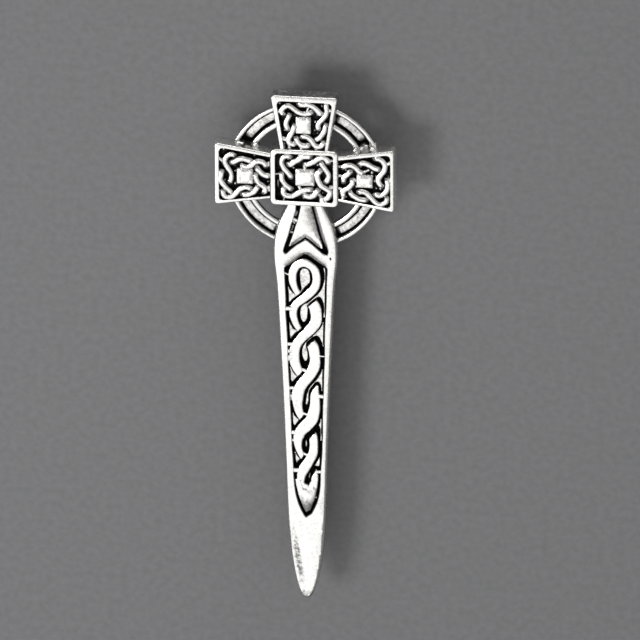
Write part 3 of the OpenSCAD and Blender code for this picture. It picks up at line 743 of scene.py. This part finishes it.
# The visible runs of the twist, with their width. Each starts from beneath the run before it, crosses over the
# ends of both its neighbours and dives beneath the next. The first starts beneath itself and is the loop.
TWIST_RUNS = [
    [(-1.3, 22.3, 1.1), (-1.62, 21.75, 1.1), (-1.81, 21.3, 1.12), (-2.01, 20.76, 1.24), (-2.16, 20.2, 1.35),
     (-2.22, 19.54, 1.38), (-2.22, 18.8, 1.42), (-2.1, 18.15, 1.44), (-1.87, 17.6, 1.45), (-1.53, 17.08, 1.43),
     (-1.13, 16.76, 1.42), (-0.68, 16.55, 1.47), (-0.3, 16.45, 1.55), (0.1, 16.53, 1.5), (0.5, 16.74, 1.4),
     (0.9, 16.98, 1.38), (1.29, 17.34, 1.4), (1.64, 17.85, 1.44), (1.82, 18.35, 1.45), (1.9, 18.97, 1.45),
     (1.92, 19.6, 1.46), (1.85, 20.2, 1.48), (1.67, 20.85, 1.49), (1.36, 21.42, 1.48), (0.98, 21.87, 1.5),
     (0.53, 22.36, 1.53), (0.06, 22.83, 1.5), (-0.51, 23.34, 1.42), (-1.1, 23.8, 1.35), (-1.6, 24.3, 1.33),
     (-1.93, 24.85, 1.38), (-2.1, 25.4, 1.4), (-2.15, 26, 1.37), (-2.1, 26.6, 1.3), (-1.98, 27.1, 1.24),
     (-1.82, 27.6, 1.18), (-1.62, 28.1, 1.12), (-1.35, 28.6, 1.05), (-1.05, 29.1, 1), (-0.6, 29.7, 1)],
    [(0, 23.2, 1.6), (0.7, 23.65, 1.9), (1.25, 24.15, 2.05), (1.6, 24.8, 2.05), (1.76, 25.5, 2.08),
     (1.87, 26.5, 1.99), (1.82, 27.2, 2), (1.62, 27.85, 1.95), (1.36, 28.3, 1.9), (1, 28.77, 1.9),
     (0.55, 29.28, 1.85), (0.05, 29.87, 1.75), (-0.5, 30.4, 1.68), (-0.97, 31, 1.63), (-1.39, 31.6, 1.68),
     (-1.72, 32.3, 1.75), (-1.93, 33, 1.8), (-1.98, 34, 1.75), (-1.95, 34.8, 1.78), (-1.83, 35.5, 1.78),
     (-1.62, 36.1, 1.7), (-1.35, 36.7, 1.6), (-1, 37.3, 1.5), (-0.6, 37.9, 1.4)],
    [(-0.3, 30, 1.5), (0.3, 30.7, 1.6), (0.8, 31.4, 1.8), (1.18, 32, 1.95), (1.37, 32.6, 1.98), (1.5, 33.55, 1.88),
     (1.61, 34.5, 1.88), (1.58, 35.3, 1.98), (1.4, 36.1, 2), (1.1, 36.8, 1.95), (0.75, 37.45, 1.9),
     (0.3, 38.1, 1.85), (-0.13, 38.65, 1.88), (-0.55, 39.2, 1.9), (-0.92, 39.85, 1.95), (-1.22, 40.5, 2.05),
     (-1.4, 41.2, 2.08), (-1.46, 42, 1.98), (-1.47, 42.8, 1.78), (-1.4, 43.55, 1.62), (-1.25, 44.3, 1.5),
     (-1, 45, 1.38), (-0.7, 45.6, 1.3), (-0.3, 46.3, 1.3)],
    [(2, 39.5, 0.3), (1.93, 39.75, 0.55), (1.82, 40.2, 0.9), (1.68, 40.7, 1.3), (1.58, 41.3, 1.58),
     (1.57, 42.1, 1.72), (1.58, 42.8, 1.77), (1.53, 43.7, 1.93), (1.42, 44.4, 2.05), (1.22, 45.2, 2.15),
     (0.98, 45.9, 2.17), (0.58, 46.5, 2.17), (0, 47.2, 2.15), (-0.6, 47.9, 2.02), (-1.02, 48.5, 1.95),
     (-1.28, 49.2, 1.9), (-1.42, 49.9, 1.65), (-1.43, 50.5, 1.48), (-1.36, 51.2, 1.3), (-1.2, 51.85, 1.17),
     (-0.98, 52.4, 1.1), (-0.68, 53, 1.05), (-0.3, 53.6, 1)],
    [(-0.1, 46.6, 1.1), (0.4, 47.4, 1.1), (0.85, 48.1, 1.15), (1.15, 48.7, 1.3), (1.27, 49.3, 1.5),
     (1.29, 50, 1.55), (1.31, 50.9, 1.54), (1.28, 51.6, 1.58), (1.17, 52.3, 1.65), (0.97, 52.9, 1.65),
     (0.65, 53.5, 1.63), (0.35, 54.05, 1.68), (0.02, 54.6, 1.8), (-0.3, 55.15, 1.9), (-0.6, 55.75, 1.85),
     (-0.8, 56.35, 1.65), (-0.92, 57, 1.45), (-0.92, 57.7, 1.22), (-0.8, 58.2, 1.05), (-0.52, 58.65, 1.35),
     (-0.2, 59, 1.7), (-0.1, 59.6, 1.7), (-0.08, 60.3, 1.45), (-0.02, 61.1, 1.15), (0.1, 61.8, 1),
     (0.2, 62.6, 0.8), (0.25, 63.3, 0.4)],
    [(0.5, 54.9, 1), (0.95, 55.4, 1.1), (1.35, 55.9, 1.15), (1.5, 56.4, 1.1), (1.47, 57, 1.22), (1.35, 57.8, 1.3),
     (1.2, 58.5, 1.5), (1.02, 59.2, 1.65), (0.82, 60, 1.75), (0.6, 60.8, 1.7), (0.43, 61.6, 1.5), (0.3, 62.4, 1.2),
     (0.22, 63.1, 0.8)]]
TWIST_TOP = FACE - 0.1
DIVE = 0.6  # how far a run's end sinks
TWIST_SECTION = both_flanks([
    (-0.5, BURIED, 1, 0), (-0.5, -0.32, 0.85, 1), (-0.49, -0.16, 0.4, 1), (-0.455, -0.05, 0.1, 1),
    (-0.38, -0.01, 0, 1), (-0.25, 0, 0, 1), (-0.12, 0, 0, 1), (0, 0, 0, 1)])
TWIST_STEPS = 6  # from each point of a run to the next
GROOVE, WIDE_GROOVE = 0.42, 0.85  # from a run's end to the edge of the run above it


def dive(bm, verts, cover, groove):
    """Sinks a run's end into a black groove beside the run that covers it."""
    patina = bm.verts.layers.float["patina"]
    for v in verts:
        gap = min(hypot(v.co.x - x, v.co.y - y) - width / 2 for x, y, width in cover)
        sink = eased(gap, groove + 0.07, groove - 0.05)
        v.co.z -= DIVE * sink
        v[patina] = max(v[patina], sink)


def twist():
    """The flat-topped strand that winds down the blade and sinks a little into its tail."""
    runs = [smooth_path(down(run), TWIST_STEPS) for run in TWIST_RUNS]
    for k, run in enumerate(runs):
        bm = new_mesh()
        strand(bm, [(x, y, TWIST_TOP - 0.3 * eased(-y, 58.6, 60.5), width + 0.06, 0) for x, y, width in run],
               TWIST_SECTION)
        made = list(bm.verts)
        end = 5 * TWIST_STEPS * len(TWIST_SECTION)  # five points at each end may dive
        if k == 0:
            dive(bm, made[:end], run[len(run) // 2:], GROOVE)
        elif k != 3:  # the fourth run starts at the panel's edge
            dive(bm, made[:end], runs[k - 1][len(runs[k - 1]) // 4:], WIDE_GROOVE)
        if k < 4:  # the last two end in the tail
            dive(bm, made[-end:], runs[k + 1][:3 * len(runs[k + 1]) // 4], GROOVE)
        weather(bm)
        silver(bm, f"twist_run_{k + 1}")


TAIL = [
    (-1.2, 57), (-1.95, 57.4), (-1.85, 58.3), (-1.62, 59.3), (-1.41, 60.3), (-1.12, 61.2), (-0.76, 62.2),
    (-0.44, 63), (-0.15, 63.6), (0.12, 63.55), (0.65, 62.85), (1, 62.1), (1.3, 61.5), (1.53, 60.7), (1.72, 59.8),
    (1.85, 58.8), (1.2, 58.5), (0.5, 58.65), (0.3, 59), (-0.1, 59.05), (-0.5, 58.8), (-0.7, 58.2), (-0.75, 57.5)]


def tail():
    """The broad end of the twist, where its two last runs meet. It darkens towards its tip."""
    bm = new_mesh()
    slab(bm, rounded(down(TAIL), 0.25, 3),
         [(-0.03, TWIST_FLOOR - 0.05, 1), (0, TWIST_TOP - 0.32, 0.85), (0.01, TWIST_TOP - 0.16, 0.4),
          (0.05, TWIST_TOP - 0.05, 0.1), (0.14, TWIST_TOP, 0)])
    patina = bm.verts.layers.float["patina"]
    for v in bm.verts:
        v[patina] = min(1, v[patina] + 0.38 * eased(-v.co.y, 60.4, 62.4))
    weather(bm)
    silver(bm, "twist_tail")


# Raised ground in the eyes of the twist and between it and the panel's edges, a groove away from both
GROUND = [
    [(-0.95, 18.1), (-1, 19), (-0.97, 20), (-0.85, 20.8), (-0.72, 21.35), (-0.95, 21.9), (-1.35, 22.32),
     (-1.8, 22.42), (-2.25, 22.1), (-2.7, 21.5), (-3.05, 20.9), (-3, 22.5), (-2.95, 23.95), (-2.75, 24.1),
     (-2.3, 23.5), (-1.8, 23.05), (-1.2, 22.62), (-0.75, 22.1), (-0.35, 21.45), (0, 20.95), (0.4, 20.6),
     (0.73, 20.2), (0.86, 19.6), (0.82, 18.8), (0.7, 18.1), (0.4, 17.6), (-0.1, 17.48), (-0.6, 17.6)],
    [(-0.43, 27.8), (-0.85, 27.1), (-1.02, 26.2), (-0.97, 25.3), (-0.75, 24.7), (-0.3, 24.27), (0.3, 23.95),
     (0.9, 23.43), (1.5, 22.88), (2, 22.35), (2.45, 21.75), (2.8, 21.1), (3.08, 20.3), (3.22, 19.3), (3.18, 18.2),
     (3.02, 17.4), (3.2, 17.1), (3.45, 17.45), (3.5, 18), (3.48, 19.5), (3.43, 21), (3.4, 23), (3.34, 25),
     (3.22, 26.9), (3.12, 26), (3.12, 24.9), (3.08, 24.2), (2.9, 23.5), (2.62, 22.95), (2.25, 22.75),
     (1.85, 23.02), (1.25, 23.55), (0.65, 24.1), (0.35, 24.55), (0.42, 25.2), (0.38, 26), (0.28, 26.9), (0, 27.5)],
    [(-2.9, 27.6), (-2.5, 28.35), (-2.1, 28.98), (-1.65, 29.22), (-1.2, 29.15), (-1.35, 29.45), (-1.86, 29.86),
     (-2.43, 30.57), (-2.66, 31), (-2.8, 30.1)],
    [(-0.1, 35.12), (-0.5, 34.6), (-0.72, 33.7), (-0.7, 32.8), (-0.5, 32.05), (-0.1, 31.45), (0.5, 30.8),
     (1.15, 30.13), (1.8, 29.43), (2.35, 28.8), (2.75, 28.05), (3.02, 27.4), (3.12, 28), (3.1, 29.5), (3.07, 31),
     (3.05, 32.4), (2.75, 31.4), (2.33, 30.5), (1.9, 30.15), (1.3, 30.35), (0.72, 30.88), (0.25, 31.4),
     (0.08, 31.8), (0.1, 32.3), (0.26, 33), (0.37, 33.7), (0.37, 34.4), (0.2, 34.9)],
    [(-2.8, 35.9), (-2.45, 36.65), (-2.1, 37.25), (-1.75, 37.7), (-1.4, 37.85), (-1.66, 38.2), (-2.1, 38.85),
     (-2.4, 39.15), (-2.64, 38.5), (-2.72, 37.1)],
    [(0.05, 43.35), (-0.12, 42.9), (-0.05, 42.1), (0.1, 41.3), (0.3, 40.6), (0.7, 39.9), (1.25, 39.1),
     (1.75, 38.45), (2.2, 37.75), (2.55, 37.05), (2.82, 36.3), (2.97, 36.8), (2.94, 38), (2.88, 39.5), (2.8, 40.6),
     (2.65, 40.3), (2.45, 39.3), (2.1, 38.85), (1.6, 39.02), (1.1, 39.6), (0.7, 40.25), (0.5, 40.9), (0.5, 41.6),
     (0.48, 42.4), (0.33, 43.1)],
    [(-2.37, 44.6), (-2.02, 45.35), (-1.6, 45.85), (-1.15, 46.1), (-1.36, 46.5), (-1.79, 47.1), (-2.05, 47.4),
     (-2.29, 46.9), (-2.36, 45.7)],
    [(-0.15, 50), (0.1, 49.9), (0.2, 50.6), (0.12, 51.2), (-0.05, 51.3), (-0.2, 50.8)],
    [(2.6, 45.6), (2.4, 46.3), (2.1, 47), (2.3, 47.4), (2.45, 47.9), (2.52, 48.8), (2.6, 50.3), (2.67, 49),
     (2.7, 47)],
    [(-1.97, 52), (-1.72, 52.65), (-1.38, 53.12), (-1.05, 53.38), (-1.2, 53.7), (-1.5, 54.15), (-1.77, 54.4),
     (-1.92, 53.6)],
    [(2.3, 52.9), (2, 53.5), (1.7, 54.1), (1.35, 54.72), (1.75, 54.75), (2.2, 54.85), (2.38, 54.3), (2.42, 53.5)],
    [(0.62, 56.05), (0.72, 56.4), (0.6, 56.95), (0.42, 57.2), (0.33, 56.9), (0.46, 56.4)]]


def ground():
    bm = new_mesh()
    low = TWIST_FLOOR - 0.05
    for corners in GROUND:
        slab(bm, rounded(down(corners), 0.2, 3),
             [(-0.03, low, 1), (0, low + 0.4, 0.7), (0.04, low + 0.52, 0.3), (0.12, low + 0.6, 0.14)])
    weather(bm, 0.06, 0.7)
    silver(bm, "twist_ground")


# Metal left in a groove by the casting: two ends, width, depth below the face, patina
BRIDGES = [
    (-3.75, 18.38, -2.8, 18.85, 0.24, 0.1, 0), (-3.7, 25.2, -2.3, 25.2, 0.75, 0.05, 0),
    (-3.3, 31.9, -2.3, 31.9, 0.6, 0.05, 0.02), (-3.3, 33.25, -2.3, 33.2, 0.75, 0.1, 0.12),
    (-3.3, 34.5, -2.3, 34.45, 1.15, 0.08, 0.1), (-3.1, 40.15, -2, 40.15, 0.55, 0.05, 0),
    (-3, 41.9, -2.1, 41.9, 1.2, 0.14, 0.2), (-2.8, 48.6, -1.9, 48.55, 0.75, 0.05, 0),
    (-2.7, 50, -1.8, 50, 0.5, 0.14, 0.2), (-2.5, 55.65, -1.4, 55.65, 0.85, 0.05, 0),
    (3.5, 33.9, 2.2, 33.9, 0.26, 0.12, 0.02), (3.2, 41.5, 2.2, 41.5, 0.75, 0.05, 0),
    (2.7, 55.8, 1.7, 55.8, 0.6, 0.05, 0), (-0.95, 36.45, 0.3, 36.95, 0.55, 0.12, 0),
    (-0.6, 44.75, 0.4, 45.15, 0.36, 0.12, 0), (-0.5, 52.4, 0.4, 52.85, 0.45, 0.12, 0),
    (-2.2, 8.15, -1.2, 8.75, 0.6, 0.14, 0.16), (-2.2, 8.6, -1.75, 9.1, 0.3, 0.2, 0.3),
    (-1.45, 6.9, -1.7, 7.9, 0.42, 0.5, 0.42), (-2.62, 10.75, -2.05, 10.95, 0.4, 0.25, 0.3),
    (-2.05, 9.6, -2.35, 10.5, 0.25, 0.45, 0.5), (1, 61, 1.75, 60.7, 0.3, 0.35, 0.35)]


def bridges():
    bm = new_mesh()
    for ax, ay, bx, by, width, drop, tone in BRIDGES:
        strand(bm, straight(ax, -ay, bx, -by, (0, 0.25, 0.5, 0.75, 1), FACE - drop, width, tone), TWIST_SECTION)
    weather(bm, 0.06, 0.7)
    silver(bm, "groove_bridges")


blade()
arrowhead()
twist()
tail()
ground()
bridges()


# ---- pin behind

# These shapes are in millimetres too, but from the surface that the pin lies on
PIN_ORIGIN = Vector((0, CROSS.y, 0))
SEAT = CROSS.z - 0.05  # top of the hinge block and the catch, a hair below the casting
STEM_Z, STEM_R = 1.5, 0.7
CATCH_Y = -58


def steel(bm, name):
    part(bm, name, STEEL, BACK_PIN, PIN_ORIGIN)


def hinge_block():
    bm = new_mesh()
    edge = 0.25
    slab(bm, rectangle(3, 2, 0.5, y=-3),
         [(edge, 0, 0), (edge * 0.3, edge * 0.3, 0), (0, edge, 0), (0, SEAT - 0.1, 0), (0.1, SEAT, 0)])
    steel(bm, "hinge_block")


def stem():
    """The straight stem with its point, turned about its own axis."""
    start, tip = -3.0, -63.5
    rows = [(0, start), (STEM_R, start), (STEM_R, CATCH_Y), (STEM_R * 0.86, CATCH_Y - 1.6),
            (STEM_R * 0.52, tip + 1.4), (STEM_R * 0.26, tip + 0.25), (STEM_R * 0.12, tip + 0.05), (0, tip)]
    bm = new_mesh()
    verts = [bm.verts.new((r, y, 0)) for r, y in rows]
    edges = [bm.edges.new(pair) for pair in zip(verts, verts[1:])]
    bmesh.ops.spin(bm, geom=verts + edges, axis=(0, 1, 0), angle=2 * pi, steps=32, use_merge=True)
    bmesh.ops.translate(bm, verts=bm.verts, vec=(0, 0, STEM_Z))
    steel(bm, "stem")


def catch():
    """A C of bent strip that opens to one side."""
    foot, half, strip, lip, length, edge = STEM_Z - STEM_R, STEM_R + 0.3, 1.0, 2.6, 4.4, 0.12
    outline = rounded([
        (half + strip, 0, 0.7), (half + strip, SEAT, 0.1), (half, SEAT, 0.1), (half, foot, 0.25),
        (-half, foot, 0.25), (-half, lip, 0.3), (-half - strip, lip, 0.3), (-half - strip, 0, 0.7)], 0.1)
    bm = new_mesh()
    slab(bm, outline, [
        (edge, -length / 2, 0), (0, -length / 2 + edge, 0), (0, length / 2 - edge, 0), (edge, length / 2, 0)])
    bmesh.ops.rotate(bm, verts=bm.verts, matrix=Matrix.Rotation(pi / 2, 3, "X"))
    bmesh.ops.translate(bm, verts=bm.verts, vec=(0, CATCH_Y, 0))
    steel(bm, "catch")


hinge_block()
stem()
catch()


# ---- floor, light and camera

def floor():
    material, tree = new_material("floor")
    place = add(tree, "TexCoord").outputs["Object"]
    speck = noise_texture(tree, place, 1.2, 3.0)
    colour = add(tree, "ValToRGB", {"Fac": speck})
    set_stops(colour.color_ramp, ((0.3, "828283"), (0.7, "8C8C8E")))
    surface = add(tree, "BsdfPrincipled", {"Base Color": colour, "Roughness": 0.8})
    add(tree, "OutputMaterial", {"Surface": surface})
    bm = bmesh.new()
    bmesh.ops.create_grid(bm, x_segments=8, y_segments=8, size=1.5)  # metres each way from the middle
    finished(bm, "floor", material)


def softbox(name, direction, distance, size, watts):
    """A lamp that looks at the pin from this direction. Its distance and size are in metres."""
    lamp = bpy.data.lights.new(name, "AREA")
    lamp.shape, lamp.size, lamp.size_y, lamp.energy = "RECTANGLE", size[0], size[1], watts
    light = into_scene(name, lamp)
    aim = Vector(direction).normalized()
    light.location = aim * distance
    light.rotation_euler = aim.to_track_quat("Z", "Y").to_euler()


def camera():
    """The photograph's view, from the head's side and far away, with the middle of the cross on its own pixel."""
    tilt, swing, roll = radians(25.5), radians(15.7), radians(0.25)
    px_per_mm, distance, sensor, pixels = 5.845, 4500.0, 36.0, 640
    cross_x, cross_y = 304.1, 178.1
    back = Vector((sin(tilt) * sin(swing), sin(tilt) * cos(swing), cos(tilt)))
    up = (Vector((0, 1, 0)) - back.y * back).normalized()
    right = up.cross(back)
    up, right = up * cos(roll) + right * sin(roll), right * cos(roll) - up * sin(roll)
    aim = (CROSS + Vector((0, 0, BLOCK_TOP - 0.2)) + right * ((pixels / 2 - cross_x) / px_per_mm)
           - up * ((pixels / 2 - cross_y) / px_per_mm))
    data = bpy.data.cameras.new("camera")
    data.sensor_width = sensor
    data.lens = px_per_mm * distance * sensor / pixels
    data.clip_start, data.clip_end = 0.1, 12
    eye = into_scene("camera", data)
    eye.matrix_world = (Matrix.Translation((aim + back * distance) * MM)
                        @ Matrix((right, up, back)).transposed().to_4x4())
    bpy.context.scene.camera = eye


floor()
softbox("overhead", (-0.2, -0.48, 0.87), 0.9, (0.8, 0.7), 1.85)
softbox("left", (-0.48, -0.02, 0.88), 0.42, (0.125, 0.125), 0.45)
softbox("back", (0.1, 0.97, 0.2), 0.9, (0.8, 0.26), 3.1)
softbox("head", (0.1, 0.48, 0.87), 0.9, (0.8, 0.38), 0.52)
softbox("right", (0.62, 0.0, 0.78), 0.9, (0.36, 0.8), 0.5)
camera()
world = bpy.data.worlds.new("studio")
world.use_nodes = True
backdrop = world.node_tree.nodes["Background"]
backdrop.inputs["Color"].default_value = (1, 1, 1, 1)
backdrop.inputs["Strength"].default_value = 0.18
bpy.context.scene.world = world
bpy.context.scene.view_settings.view_transform = "Standard"
